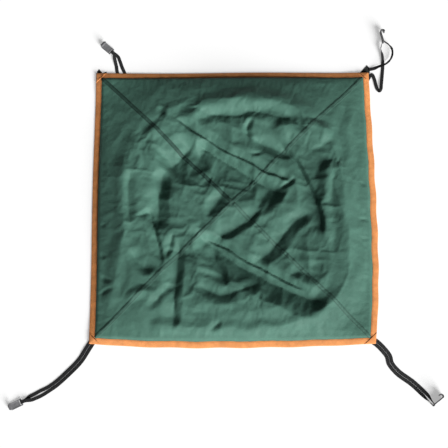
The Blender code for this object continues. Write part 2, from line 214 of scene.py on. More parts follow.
def cloth_material(name, colour, wear):
    """Tightly woven cloth with a thin coating: a plain weave with painted shade in its hollows, soft
    mottling and a low sheen.
    """
    m = Nodes(name, colour, 0.6, 0.14)
    m.shader.inputs["Sheen Weight"].default_value = 0.03
    m.shader.inputs["Sheen Roughness"].default_value = 0.4
    place = m.place()
    mottle = m.noise(place, 34.0, 5.0, 0.62)
    low = tuple(c * (1 - wear) for c in colour)
    high = tuple(min(1.0, c * (1 + wear)) for c in colour)
    tint = m.ramp(mottle, low, high, 0.32, 0.68)
    warp, weft = m.wave(place, 330.0, "X"), m.wave(place, 330.0, "Y")
    weave = m.combine("MULTIPLY", warp, weft)
    # painted shade: the cloth is darker where the weave's bump lies lower
    weave_hollow_shade = m.ramp(weave, (0.90, 0.90, 0.90), (1.04, 1.04, 1.04))
    tint = m.mix("MULTIPLY", 1.0, tint, weave_hollow_shade)
    shine = m.span(m.noise(place, 60.0, 3.0), 0.50, 0.66)
    creases = m.bump(m.noise(place, 210.0, 4.0, 0.6), 0.0006)
    normal = m.bump(weave, 0.00010, creases)
    return m.finish(tint, shine, normal)


def tape_material(name, colour, ribs_along, edge):
    """Woven tape: ribs across its run with painted shade in their grooves, and painted shade that
    darkens it towards both edges, in its strip's own coordinates.

    U runs along the tape in metres and V across it from 0 to 1.
    """
    m = Nodes(name, colour, 0.62, 0.25)
    m.shader.inputs["Sheen Weight"].default_value = 0.08
    place = m.place(uv=True)
    split = m.add("SeparateXYZ")
    m.link(place, split.inputs["Vector"])
    ribs = m.wave(place, ribs_along, "X", 0.4)
    mottle = m.noise(m.place(), 55.0, 4.0, 0.6)
    low = tuple(c * 0.80 for c in colour)
    high = tuple(min(1.0, c * 1.12) for c in colour)
    tint = m.ramp(mottle, low, high, 0.3, 0.7)
    shade = m.ramp(ribs, (0.84, 0.84, 0.84), (1.05, 1.05, 1.05))
    tint = m.mix("MULTIPLY", 1.0, tint, shade)
    # painted shade: the edge colour darkens the tape near both edges of the strip
    across = m.add("ValToRGB")
    edge_shade_stops = across.color_ramp.elements
    edge_shade_stops[0].position, edge_shade_stops[0].color = 0.0, (*edge, 1)
    edge_shade_stops[1].position, edge_shade_stops[1].color = 1.0, (*edge, 1)
    for at in (0.16, 0.84):
        edge_shade_stops.new(at).color = (1, 1, 1, 1)
    m.link(split.outputs["Y"], across.inputs["Fac"])
    tint = m.mix("MULTIPLY", 1.0, tint, across.outputs["Color"])
    normal = m.bump(ribs, 0.00012)
    return m.finish(tint, m.span(mottle, 0.5, 0.75), normal)


def thread_material(name, colour):
    """Twisted sewing thread, with painted shade in the grooves of its twist."""
    m = Nodes(name, colour, 0.6, 0.3)
    place = m.place()
    twist = m.wave(place, 900.0, "DIAGONAL")
    # painted shade: darker where the twist's bump lies lower
    low = tuple(c * 0.6 for c in colour)
    return m.finish(m.ramp(twist, low, colour), None, m.bump(twist, 0.00008))


def plastic_material(name, colour):
    """Glass-filled moulded plastic: satin, finely grained, scuffed."""
    m = Nodes(name, colour, 0.4, 0.5)
    place = m.place()
    grain = m.noise(place, 900.0, 3.0, 0.6)
    scuffs = m.noise(place, 120.0, 5.0, 0.7)
    low = tuple(c * 0.82 for c in colour)
    high = tuple(min(1.0, c * 1.2) for c in colour)
    return m.finish(m.ramp(scuffs, low, high, 0.35, 0.7), m.span(scuffs, 0.30, 0.55),
                    m.bump(grain, 0.00005))


# Settling of the cloth
SETTLE_FRAMES = 10
SETTLE_BENDING = 2.5    # stiffness
SETTLE_GRAVITY = 0.02   # share of full gravity
SETTLE_GROWTH = -0.03   # negative: the cloth is cut this much too full
MIDDLE_SETTLED = 0.5    # share of the crumpling that the middle keeps
SKIRT_SETTLED = 0.25    # and the skirts
SQUARENESS = 2.6        # of the rounded square inside the skirts: 2 is a circle

# Floor and light
FLOOR_FAR = 60.0
FLOOR_GREY = 0.58
FLOOR_GLOW = 0.4        # keeps the shadows on the floor faint
WORLD_LIGHT = 0.07
KEY_STRENGTH = 7.8
KEY_SPREAD = 34.0       # degrees across
KEY_AZIMUTH = -54.0     # 0 is east
KEY_ELEVATION = 24.0


# Folds

# Folds of the cloth in millimetres: route, height (below 0 for a valley), reach to the left and to the
# right of the route, and sharpness of its line from 0 to 1
FOLDS = (
    # the deep valley round the middle, and the pleats beside it
    (((152, 22), (100, 50), (0, 110), (-104, 176)), -34, 92, 34, 1.0),
    (((-98, 180), (-150, 130), (-196, 90)), -28, 92, 60, 1.0),
    (((-190, 96), (-203, 60), (-207, 0), (-202, -78)), -19, 34, 60, 1.0),
    (((168, 58), (60, 112), (-50, 174), (-160, 246)), -12, 9, 22, 1.0),
    (((176, 74), (160, 55), (128, 42)), -9, 12, 10, 0.8),
    (((-230, 235), (-215, 120), (-240, 10)), 8, 34, 40, 0.3),
    # the valley across the lower right, and its pleat
    (((258, -290), (190, -262), (100, -222), (10, -168), (-92, -90)), -25, 56, 32, 1.0),
    (((205, -250), (100, -196), (30, -155), (-72, -96)), -12, 8, 20, 1.0),
    (((-12, -240), (60, -262), (140, -305), (215, -325)), 8, 50, 40, 0.3),
    # right-hand crest, and the valleys inside it
    (((262, 120), (288, 40), (312, -60), (318, -170), (300, -240), (252, -300), (190, -326)),
     12, 74, 44, 0.5),
    (((130, 172), (175, 122), (208, 62), (232, 5), (250, -100)), -12, 10, 36, 1.0),
    (((265, 120), (256, 0), (262, -120)), 8, 24, 30, 0.2),
    (((150, -215), (190, -198), (240, -225)), -9, 30, 22, 0.8),
    (((215, -160), (245, -200), (262, -190)), -5, 20, 20, 0.4),
    # top arc
    (((-130, 225), (-100, 264), (-20, 296), (80, 302), (170, 284), (245, 222)), 7, 44, 34, 0.3),
    (((-105, 236), (-60, 256), (20, 254), (50, 266), (150, 246), (220, 206)), -9, 34, 26, 0.7),
    (((60, 252), (40, 215), (56, 178)), -10, 18, 12, 1.0),
    (((55, 190), (100, 165), (168, 128)), -11, 30, 26, 0.8),
    (((38, 150), (60, 140), (84, 146)), -6, 12, 14, 0.8),
    (((110, 214), (200, 222), (290, 204)), 13, 30, 50, 0.4),
    (((290, 195), (245, 160), (200, 150)), -5, 24, 20, 0.5),
    # middle creases
    (((220, -30), (190, -46), (158, -72), (120, -130), (60, -172)), -13, 30, 52, 0.9),
    (((82, -18), (40, -52), (-48, -106)), -11, 22, 40, 0.9),
    (((-55, -120), (-36, -180), (-14, -240)), -13, 18, 56, 0.8),
    (((78, -226), (30, -250), (-30, -262), (-95, -236)), -12, 26, 30, 0.8),
    (((-20, 44), (-36, 10), (-75, -42)), -10, 28, 34, 0.6),
    (((112, 44), (90, 22), (70, -20)), -8, 22, 24, 0.5),
    (((-185, 45), (-150, 0), (-95, -85)), 8, 30, 40, 0.4),
    (((60, -100), (110, -110)), -4, 16, 18, 0.6),
    # left
    (((-284, 98), (-291, 20), (-284, -64)), -9, 20, 34, 0.8),
    (((-272, -44), (-235, -27), (-220, -60), (-206, -120), (-190, -182)), -10, 12, 26, 1.0),
    (((-280, -130), (-255, -178), (-212, -194)), -13, 38, 26, 0.5),
    (((-168, -82), (-182, -172)), -10, 14, 18, 0.9),
    (((-144, -108), (-152, -200), (-156, -290), (-166, -354)), -12, 22, 40, 0.7),
    (((-308, 140), (-300, -60), (-322, -200), (-345, -300)), 5, 30, 34, 0.3),
    (((-215, 285), (-188, 252)), -7, 14, 20, 0.5),
    (((-200, -270), (-250, -255), (-300, -280)), 6, 22, 22, 0.3),
    (((-240, -300), (-180, -250), (-150, -240)), -5, 20, 20, 0.5),
    # lower skirt
    (((-230, -340), (-100, -347), (40, -350), (150, -338), (230, -318)), 7, 26, 34, 0.4),
    (((-110, -180), (-30, -204)), 5, 18, 18, 0.5),
    (((-30, -325), (-66, -358)), -6, 14, 16, 0.8),
    (((-120, -310), (20, -300)), -5, 22, 24, 0.4),
    # skirts
    (((330, 300), (300, 210), (310, 120)), -4, 26, 30, 0.4),
    (((350, 60), (372, 52)), -3, 8, 10, 0.8),
    (((345, -46), (374, -52)), -4, 9, 12, 0.8),
    (((345, -100), (374, -104)), -3, 8, 10, 0.8),
    (((-372, -140), (-350, -160)), -4, 10, 12, 0.8),
    (((-374, -210), (-330, -222)), -5, 12, 14, 0.8),
    (((-374, -262), (-330, -240)), -4, 10, 12, 0.8),
    (((-372, -60), (-352, -66)), -3, 8, 9, 0.8),
)
CREST = 0.305


@functools.lru_cache(maxsize=None)
def noise_lattice(seed):
    return np.random.default_rng(seed).uniform(-1, 1, (64, 64))


def noise_field(x, y, scale, seed):
    """Smooth value noise between -1 and 1 on a square lattice."""
    lattice = noise_lattice(seed)
    gx, gy = x / scale + 32, y / scale + 32
    ix, iy = np.floor(gx).astype(int) % 63, np.floor(gy).astype(int) % 63
    fx, fy = gx - np.floor(gx), gy - np.floor(gy)
    fx, fy = fx * fx * (3 - 2 * fx), fy * fy * (3 - 2 * fy)
    low = lattice[ix, iy] * (1 - fx) + lattice[ix + 1, iy] * fx
    high = lattice[ix, iy + 1] * (1 - fx) + lattice[ix + 1, iy + 1] * fx
    return low * (1 - fy) + high * fy


def curved(points, steps=5):
    p = [np.array(q, float) for q in points]
    e = [2 * p[0] - p[1]] + p + [2 * p[-1] - p[-2]]
    out = []
    for a, b, c, d in zip(e, e[1:], e[2:], e[3:]):
        for k in range(steps):
            t = k / steps
            out.append(0.5 * (2 * b + (c - a) * t + (2 * a - 5 * b + 4 * c - d) * t * t
                              + (3 * b - a - 3 * c + d) * t ** 3))
    return out + [p[-1]]


def stroke(x, y, points, height, left, right, sharp, taper=38):
    """A fold beside a polyline, falling away to nothing at its reaches and its ends."""
    best = np.full(x.shape, 1e9)
    side = np.zeros(x.shape)
    along = np.zeros(x.shape)
    done = 0.0
    route = curved(points)
    for (ax, ay), (bx, by) in zip(route, route[1:]):
        length = np.hypot(bx - ax, by - ay)
        tx, ty = (bx - ax) / length, (by - ay) / length
        s = np.clip((x - ax) * tx + (y - ay) * ty, 0, length)
        dx, dy = x - ax - tx * s, y - ay - ty * s
        away = np.hypot(dx, dy)
        near = away < best
        best = np.where(near, away, best)
        side = np.where(near, tx * dy - ty * dx, side)
        along = np.where(near, done + s, along)
        done += length
    share = np.clip(side / 6 + 0.5, 0, 1)
    reach = right + (left - right) * share
    ends = np.clip(np.minimum(along, done - along) / min(taper, done / 2.2) + 0.1, 0, 1)
    reach = reach * (0.55 + 0.45 * ends)
    t = np.clip(best / reach, 0, 1)
    round_top = 0.5 + 0.5 * np.cos(np.pi * t)
    pointed = (1 - t) ** 1.25
    ends = ends * ends * (3 - 2 * ends)
    return height * ends * (sharp * pointed + (1 - sharp) * round_top)


def rounded_square(u, v):
    """Distance from the middle, measured so that equal distances make a rounded square."""
    return (np.abs(u) ** SQUARENESS + np.abs(v) ** SQUARENESS) ** (1 / SQUARENESS)


def fold_height(u, v):
    """Height of the folded cloth over its rim."""
    x, y = u / MM, v / MM
    inward = HALF - np.maximum(np.abs(u), np.abs(v))
    round_reach = rounded_square(u, v)
    outside = np.clip(round_reach - CREST, 0, None)
    share = inward / (inward + outside + 1e-6)
    climb = 1 - (1 - share) ** 1.25
    z = 34 * climb
    fall = np.clip((CREST - round_reach) / 0.13, 0, 1)
    z = z - 9 * fall * fall * (3 - 2 * fall)
    warp_x = 3.5 * noise_field(x, y, 42, 1) + 1.2 * noise_field(x, y, 15, 2)
    warp_y = 3.5 * noise_field(x, y, 42, 3) + 1.2 * noise_field(x, y, 15, 4)
    calm = np.clip((inward / MM - 16) / 22, 0, 1)
    wx, wy = x + warp_x * calm, y + warp_y * calm
    for fold in FOLDS:
        z = z + stroke(wx, wy, *fold) * calm
    # small creases: ridged noise, stronger inside the crest
    inside = np.clip((CREST + 0.02 - round_reach) / 0.06, 0, 1)
    for scale, size, seed in ((52, 2.2, 11), (26, 1.2, 12), (12, 0.45, 13)):
        turn = seed * 1.3
        along = wx * np.cos(turn) + wy * np.sin(turn)
        across = wy * np.cos(turn) - wx * np.sin(turn)
        ridged = 1 - 2 * np.abs(noise_field(along * 0.55, across, scale, seed))
        z = z + size * ridged * calm * (0.18 + 0.82 * inside)
    return z * MM


# The cloth

def rim_push(u, v):
    """How far the rim bows out of its square, fading inwards: (x, y)."""
    reach_x = np.clip((np.abs(u) - 0.16) / (HALF - 0.16), 0, 1) ** 1.5
    reach_y = np.clip((np.abs(v) - 0.16) / (HALF - 0.16), 0, 1) ** 1.5
    along_v = np.clip(1 - (np.abs(v) / HALF) ** 2.4, 0, 1)
    along_u = np.clip(1 - (np.abs(u) / HALF) ** 2.4, 0, 1)
    east = (0.0125 - 0.008 * v / HALF + 0.0012 * np.sin(v * 61)) * (u > 0)
    west = -0.0015 * np.sin(v * 9 + 1.0) * (u < 0)
    south = -(0.0115 - 0.003 * u / HALF + 0.0010 * np.sin(u * 47)) * (v < 0)
    north = 0.0012 * np.sin(u * 11 + 0.6) * (v > 0)
    return reach_x * along_v * (east + west), reach_y * along_u * (south + north)


def rim_height(u, v):
    """Height of the cloth's middle at the rim."""
    off_corner = HALF - np.minimum(np.abs(u), np.abs(v))
    share = np.clip((off_corner - 0.035) / 0.05, 0, 1)
    share = share * share * (3 - 2 * share)
    return RIM_CORNER + (RIM_LOW - RIM_CORNER) * share


def rim_point(u, v):
    """Where a point of the flat square lies under the binding, which holds the folds flat."""
    push_x, push_y = rim_push(u, v)
    inward = HALF - np.maximum(np.abs(u), np.abs(v))
    edge = RIM_RISE * np.clip(inward / TAPE_REACH, 0, 1)
    return u + push_x, v + push_y, rim_height(u, v) + edge


def cloth_point(u, v):
    """Where a point of the flat square lies: arrays of x, y and z."""
    x, y, z = rim_point(u, v)
    inward = HALF - np.maximum(np.abs(u), np.abs(v))
    return x, y, z + fold_height(u, v) * np.clip((inward - TAPE_REACH) / 0.004, 0, 1)


def make_cloth():
    """The whole cloth as one mesh, with edges along both diagonals."""
    ticks = np.linspace(-(HALF - 0.001), HALF - 0.001, CELLS + 1)
    u, v = np.meshgrid(ticks, ticks, indexing="ij")
    x, y, z = cloth_point(u, v)
    count = CELLS + 1
    faces = []
    for i in range(CELLS):
        for j in range(CELLS):
            a, b = i * count + j, (i + 1) * count + j
            c, d = b + 1, a + 1
            if i == j:
                faces += [(a, b, c), (a, c, d)]
            elif i + j == CELLS - 1:
                faces += [(a, b, d), (b, c, d)]
            else:
                faces.append((a, b, c, d))
    mesh = bpy.data.meshes.new("cloth")
    mesh.from_pydata(np.stack([x, y, z], -1).reshape(-1, 3).tolist(), [], faces)
    for _ in SIDES:
        mesh.materials.append(None)
    flat_u, flat_v = u.ravel(), v.ravel()
    for polygon in mesh.polygons:
        corners = list(polygon.vertices)
        a, b = flat_u[corners].mean(), flat_v[corners].mean()
        polygon.material_index = (0 if a > 0 else 2) if abs(a) > abs(b) else (1 if b > 0 else 3)
    cloth = bpy.data.objects.new("cloth", mesh)
    bpy.context.scene.collection.objects.link(cloth)
    rim = np.maximum(np.abs(u), np.abs(v)).ravel() > HALF - 0.0235
    pins = cloth.vertex_groups.new(name="pins")
    pins.add([int(i) for i in np.flatnonzero(rim)], 1.0, "REPLACE")
    return cloth


def mesh_from(name, bm):
    """Close a bmesh into a mesh."""
    mesh = bpy.data.meshes.new(name)
    bm.to_mesh(mesh)
    bm.free()
    return mesh


def apply_modifiers(piece):
    """Bake an object's modifiers into its mesh."""
    bpy.context.view_layer.update()
    evaluated = piece.evaluated_get(bpy.context.evaluated_depsgraph_get())
    mesh = bpy.data.meshes.new_from_object(evaluated)
    piece.modifiers.clear()
    piece.data = mesh


def relax_cloth(cloth):
    """Let the folded cloth, cut a little full, crumple for a few frames with its rim held.

    The skirts are drawn tight by the rim, so they keep less of it than the middle.
    """
    floor_mesh = bpy.data.meshes.new("settling_floor")
    floor_mesh.from_pydata([(-1, -1, 0), (1, -1, 0), (1, 1, 0), (-1, 1, 0)], [], [(0, 1, 2, 3)])
    floor = bpy.data.objects.new("settling_floor", floor_mesh)
    bpy.context.scene.collection.objects.link(floor)
    floor.modifiers.new("floor", "COLLISION")
    floor.collision.thickness_outer = 0.002
    settle = cloth.modifiers.new("settle", "CLOTH")
    settle.settings.quality = 6
    settle.settings.mass = 0.12
    settle.settings.tension_stiffness = 60
    settle.settings.compression_stiffness = 60
    settle.settings.shear_stiffness = 30
    settle.settings.bending_stiffness = SETTLE_BENDING
    settle.settings.air_damping = 4.0
    settle.settings.vertex_group_mass = "pins"
    settle.settings.effector_weights.gravity = SETTLE_GRAVITY
    settle.settings.shrink_min = SETTLE_GROWTH
    settle.collision_settings.use_collision = True
    settle.collision_settings.distance_min = 0.0015
    scene = bpy.context.scene
    before = positions(cloth.data)
    for step in range(1, SETTLE_FRAMES + 1):
        scene.frame_set(step)
    apply_modifiers(cloth)
    scene.frame_set(1)
    bpy.data.objects.remove(floor)
    moved = positions(cloth.data) - before
    round_reach = rounded_square(before[:, 0], before[:, 1])
    inside = np.clip((CREST + 0.03 - round_reach) / 0.06, 0, 1)
    keep = SKIRT_SETTLED + (MIDDLE_SETTLED - SKIRT_SETTLED) * inside
    cloth.data.vertices.foreach_set("co", (before + moved * keep[:, None]).ravel())
    cloth.data.update()


def positions(mesh):
    flat = np.zeros(len(mesh.vertices) * 3)
    mesh.vertices.foreach_get("co", flat)
    return flat.reshape(-1, 3)


def seam_distance(x, y):
    """Distance to the nearer diagonal."""
    return np.minimum(np.abs(x - y), np.abs(x + y)) / math.sqrt(2)


def refine_cloth(cloth):
    """Add puckers beside the seams and the binding, and fine creases."""
    mesh = cloth.data
    co = positions(mesh)
    x, y = co[:, 0], co[:, 1]
    inward = HALF - np.maximum(np.abs(x), np.abs(y))
    beside = np.exp(-((seam_distance(x, y) - 0.009) / 0.0065) ** 2)
    along = np.where(np.abs(x - y) < np.abs(x + y), x + y, x - y) / math.sqrt(2) / MM
    pucker = noise_field(along, np.sign(x * x - y * y) * 400, 7.5, 21)
    pucker += 0.6 * noise_field(along, np.sign(x * x - y * y) * 700, 3.6, 22)
    inner = np.clip((inward - 0.018) / 0.01, 0, 1)
    z = 0.00055 * beside * pucker * inner
    run = np.where(np.abs(x) > np.abs(y), y, x) / MM
    hem = np.exp(-((inward - 0.024) / 0.008) ** 2) * (inward > 0.0175)
    z += 0.0008 * hem * noise_field(run, np.sign(x + y) * 300, 9.0, 23)
    calm = np.clip((inward - 0.018) / 0.02, 0, 1)
    z += 0.00022 * calm * noise_field(x / MM, y / MM, 5.5, 24)
    co[:, 2] += z
    mesh.vertices.foreach_set("co", co.ravel())
    mesh.update()


def surface_of(cloth):
    """Height of the cloth under a point."""
    tree = BVHTree.FromObject(cloth, bpy.context.evaluated_depsgraph_get())

    def height_at(x, y):
        hit = tree.ray_cast(Vector((x, y, 0.3)), Vector((0, 0, -1)))[0]
        if hit is None:
            hit = tree.find_nearest(Vector((x, y, 0.03)))[0]
        return hit.z
    return height_at


def thicken(piece, thickness, offset=0.0):
    shell = piece.modifiers.new("thickness", "SOLIDIFY")
    shell.thickness = thickness
    shell.offset = offset
    apply_modifiers(piece)


def add_piece(name, mesh, material, body):
    piece = bpy.data.objects.new(name, mesh)
    bpy.context.scene.collection.objects.link(piece)
    mesh.materials.clear()
    mesh.materials.append(material)
    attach(piece, body)
    return piece


def split_cloth(cloth, material):
    """Cut the cloth along its diagonals into the four panels."""
    for side in SIDES:
        bm = bmesh.new()
        bm.from_mesh(cloth.data)
        number = list(SIDES).index(side)
        away = [face for face in bm.faces if face.material_index != number]
        bmesh.ops.delete(bm, geom=away, context="FACES")
        for face in bm.faces:
            face.material_index = 0
        mesh = mesh_from("panel_cloth_" + side, bm)
        mesh.shade_smooth()
        panel = add_piece("panel_cloth_" + side, mesh, material, "root")
        thicken(panel, CLOTH)
        panel.data.shade_smooth()
        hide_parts("panel_" + side)


# Strips that are lofted along a run

def strip_mesh(name, rings, closed_section=True, caps=True):
    """Loft rings of points into a strip. UV: metres along, and 0 to 1 across."""
    bm = bmesh.new()
    layer = bm.loops.layers.uv.new("UVMap")
    verts = [[bm.verts.new(p) for p in ring] for ring in rings]
    count = len(rings[0])
    centres = [sum((Vector(p) for p in ring), Vector()) / count for ring in rings]
    runs = [0.0]
    for a, b in zip(centres, centres[1:]):
        runs.append(runs[-1] + (b - a).length)
    around = range(count) if closed_section else range(count - 1)
    widths = section_shares(rings[len(rings) // 2], closed_section)
    for k, (low, high) in enumerate(zip(verts, verts[1:])):
        for i in around:
            j = (i + 1) % count
            face = bm.faces.new((low[i], low[j], high[j], high[i]))
            uv = ((runs[k], widths[i]), (runs[k], widths[i + 1]),
                  (runs[k + 1], widths[i + 1]), (runs[k + 1], widths[i]))
            for loop, place in zip(face.loops, uv):
                loop[layer].uv = place
    if closed_section and caps:
        bm.faces.new(verts[0])
        bm.faces.new(list(reversed(verts[-1])))
    bmesh.ops.recalc_face_normals(bm, faces=bm.faces)
    mesh = mesh_from(name, bm)
    mesh.shade_smooth()
    return mesh


def section_shares(ring, closed_section):
    """Share of the way across the strip for each point of its section.

    A closed section runs out over one face and back over the other.
    """
    points = [Vector(p) for p in ring]
    if closed_section:
        points.append(points[0])
    lengths = [0.0]
    for a, b in zip(points, points[1:]):
        lengths.append(lengths[-1] + (b - a).length)
    total = lengths[-1]
    if not closed_section:
        return [length / total for length in lengths]
    return [min(length, total - length) * 2 / total for length in lengths]


def side_frame(side):
    """Turns a place on the east side, (inward, along), into the flat square's u and v."""
    turn = math.radians(SIDES[side])
    c, s = math.cos(turn), math.sin(turn)

    def place(inward, along):
        u, v = HALF - inward, along
        return u * c - v * s, u * s + v * c
    return place


def on_cloth(u, v, lift):
    """A point over the flat square's point, on the rim's own surface."""
    x, y, z = rim_point(np.float64(u), np.float64(v))
    return Vector((x, y, z + lift))


# Binding tape

def make_bindings(material):
    """Tape folded round the rim, one length a side, with a gathered upper edge."""
    leaf = CLOTH / 2 + TAPE / 2 + 0.0001
    section = ((1.0, leaf), (0.97, leaf), (0.72, leaf + 0.0003), (0.45, leaf + 0.0003),
               (0.2, leaf + 0.0002), (0.06, leaf), (0.005, leaf * 0.75), (-0.02, 0.0),
               (0.005, -leaf * 0.75), (0.06, -leaf), (0.5, -leaf), (1.0, -leaf))
    stations = 220
    for number, side in enumerate(SIDES):
        place = side_frame(side)
        rings = []
        for k in range(stations + 1):
            share = 2 * k / stations - 1
            ring = []
            run = share * HALF / MM
            edge_wander = 0.5 * MM * noise_field(run, 50.0 + number, 13.0, 31)
            puff = 0.35 * MM * noise_field(run, 90.0 + number, 8.0, 32)
            for across, lift in section:
                inward = across * TAPE_REACH + edge_wander * max(across, 0)
                along = share * (HALF - max(inward, 0) - 0.0004)
                u, v = place(inward, along)
                gathered = puff * math.sin(math.pi * min(max(across, 0), 1)) * (lift > 0)
                ring.append(on_cloth(u, v, lift + gathered))
            rings.append(ring)
        mesh = strip_mesh("binding_tape_" + side, rings, closed_section=False)
        tape = add_piece("binding_tape_" + side, mesh, material, "root")
        thicken(tape, TAPE * 0.9)
        tape.data.shade_smooth()
        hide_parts("binding_" + side)


# Thread

def stitch_row(bm, points, radius):
    """One stitch on each pair of points: a short arch of thread with its ends pulled in."""
    sides = 5
    shape = ((0.0, -1.6, 0.45), (0.16, 0.2, 0.85), (0.5, 0.75, 1.0), (0.84, 0.2, 0.85),
             (1.0, -1.6, 0.45))
    for a, b, up in points:
        run = b - a
        along = run.normalized()
        side = along.cross(up).normalized()
        rings = []
        for share, lift, girth in shape:
            centre = a + run * share + up * (lift * radius)
            rings.append([bm.verts.new(centre + (side * math.cos(t) + up * math.sin(t) * 0.8)
                                       * radius * girth)
                          for t in (2 * math.pi * n / sides for n in range(sides))])
        for low, high in zip(rings, rings[1:]):
            for n in range(sides):
                m = (n + 1) % sides
                bm.faces.new((low[n], low[m], high[m], high[n]))
        bm.faces.new(list(reversed(rings[0])))
        bm.faces.new(rings[-1])


def finish_thread(name, bm, material, body="root"):
    bmesh.ops.recalc_face_normals(bm, faces=bm.faces)
    mesh = mesh_from(name, bm)
    mesh.shade_smooth()
    return add_piece(name, mesh, material, body)


def pairs(line, fill=0.72):
    """Stitches along a dense line of points: the ends of each, and up."""
    found = []
    travelled, start = 0.0, line[0]
    up = Vector((0, 0, 1))
    for a, b in zip(line, line[1:]):
        travelled += (b - a).length
        if travelled >= STITCH:
            found.append((start, start.lerp(b, fill), up))
            start, travelled = b, 0.0
    return found


def make_binding_stitches(material):
    """A row of stitches near the tape's inner edge, all round."""
    leaf = CLOTH / 2 + TAPE + 0.0001
    for side in SIDES:
        place = side_frame(side)
        bm = bmesh.new()
        half = HALF - 0.033
        line = []
        for k in range(1401):
            u, v = place(0.0133, (2 * k / 1400 - 1) * half)
            line.append(on_cloth(u, v, leaf + 0.00018))
        stitch_row(bm, pairs(line), THREAD)
        finish_thread("binding_stitches_" + side, bm, material)


# Seam bands

def make_seams(height_at, cloths, thread):
    """Bands over the diagonals, sewn down along both edges, that follow the folds."""
    reach = (HALF - TAPE_REACH - 0.0006) * math.sqrt(2)
    stub = SEAM_WIDTH / 2 + 0.0008
    for name, turn, start in (("seam_long", 45, -reach), ("seam_northwest", 135, stub),
                              ("seam_southeast", -45, stub)):
        turn = math.radians(turn)
        along = Vector((math.cos(turn), math.sin(turn), 0))
        across = Vector((-along.y, along.x, 0))
        half = SEAM_WIDTH / 2
        section = ((-1.0, 0.0), (-0.86, 0.00035), (-0.70, 0.00012), (-0.45, 0.0005), (0.0, 0.0006),
                   (0.45, 0.0005), (0.70, 0.00012), (0.86, 0.00035), (1.0, 0.0))
        steps = int((reach - start) / 0.0016)
        rings, lines = [], {-0.70: [], 0.70: []}
        for k in range(steps + 1):
            s = start + (reach - start) * k / steps
            flat = along * s
            push = rim_push(np.float64(flat.x), np.float64(flat.y))
            middle = flat + Vector((*push, 0))
            wander = 0.0006 * noise_field(s / MM, 10.0, 45.0, 41)
            pinch = noise_field(s / MM, 20.0, 3.4, 42)
            ring = []
            for share, lift in section:
                p = middle + across * (half * share + wander)
                puff = 1 + 0.5 * pinch if abs(share) < 0.6 else 1.0
                z = height_at(p.x, p.y) + CLOTH / 2 + 0.00025 + lift * puff
                ring.append(Vector((p.x, p.y, z)))
                if share in lines:
                    lines[share].append(Vector((p.x, p.y, z + 0.00045)))
            rings.append(ring)
        mesh = strip_mesh(name + "_band", rings, closed_section=False)
        band = add_piece(name + "_band", mesh, cloths[name], "root")
        thicken(band, 0.0004)
        band.data.shade_smooth()
        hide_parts(name)
        bm = bmesh.new()
        for line in lines.values():
            dense = [a.lerp(b, t / 4) for a, b in zip(line, line[1:]) for t in range(4)]
            stitch_row(bm, pairs(dense), SEAM_THREAD)
        finish_thread(name + "_stitches", bm, thread)


# Corners

PATCHES = {
    "ne": ((0.363, 0.388), (0.392, 0.420), (0.402, 0.409), (0.3925, 0.362), (0.362, 0.362)),
    "nw": ((-0.3925, 0.362), (-0.394, 0.402), (-0.388, 0.410), (-0.378, 0.398),
           (-0.366, 0.402), (-0.358, 0.362)),
    "sw": ((-0.3925, -0.360), (-0.360, -0.360), (-0.360, -0.3925), (-0.3925, -0.3925)),
    "se": ((0.3925, -0.360), (0.360, -0.360), (0.360, -0.3925), (0.3925, -0.3925)),
}


def make_patches(material, thread):
    """The webbing patch under each corner, with a folded edge and a row of stitches."""
    for corner, outline in PATCHES.items():
        bm = bmesh.new()
        face = bm.faces.new([bm.verts.new((x, y, 0.00005)) for x, y in outline])
        if face.normal.z > 0:
            face.normal_flip()
        top = bmesh.ops.extrude_face_region(bm, geom=[face])
        raised = [v for v in top["geom"] if isinstance(v, bmesh.types.BMVert)]
        bmesh.ops.translate(bm, vec=(0, 0, PATCH - 0.0001), verts=raised)
        bmesh.ops.recalc_face_normals(bm, faces=bm.faces)
        bmesh.ops.bevel(bm, geom=bm.edges[:], offset=0.00035, segments=3, affect="EDGES",
                        profile=0.6)
        mesh = mesh_from("patch", bm)
        mesh.shade_smooth()
        mesh.set_sharp_from_angle(angle=math.radians(50))
        patch = add_piece("corner_tab_" + corner, mesh, material, "root")
        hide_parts("corner_patch_" + corner)
        middle = sum((Vector((x, y, 0)) for x, y in outline), Vector()) / len(outline)
        bm = bmesh.new()
        inset = [Vector((x, y, 0)).lerp(middle, 0.16) for x, y in outline]
        for a, b in zip(inset, inset[1:] + inset[:1]):
            count = max(2, int((b - a).length / 0.0004))
            line = [a.lerp(b, k / count) + Vector((0, 0, PATCH + 0.00005))
                    for k in range(count + 1)]
            stitch_row(bm, pairs(line), THREAD * 0.9)
        finish_thread("corner_tab_stitches_" + corner, bm, thread)


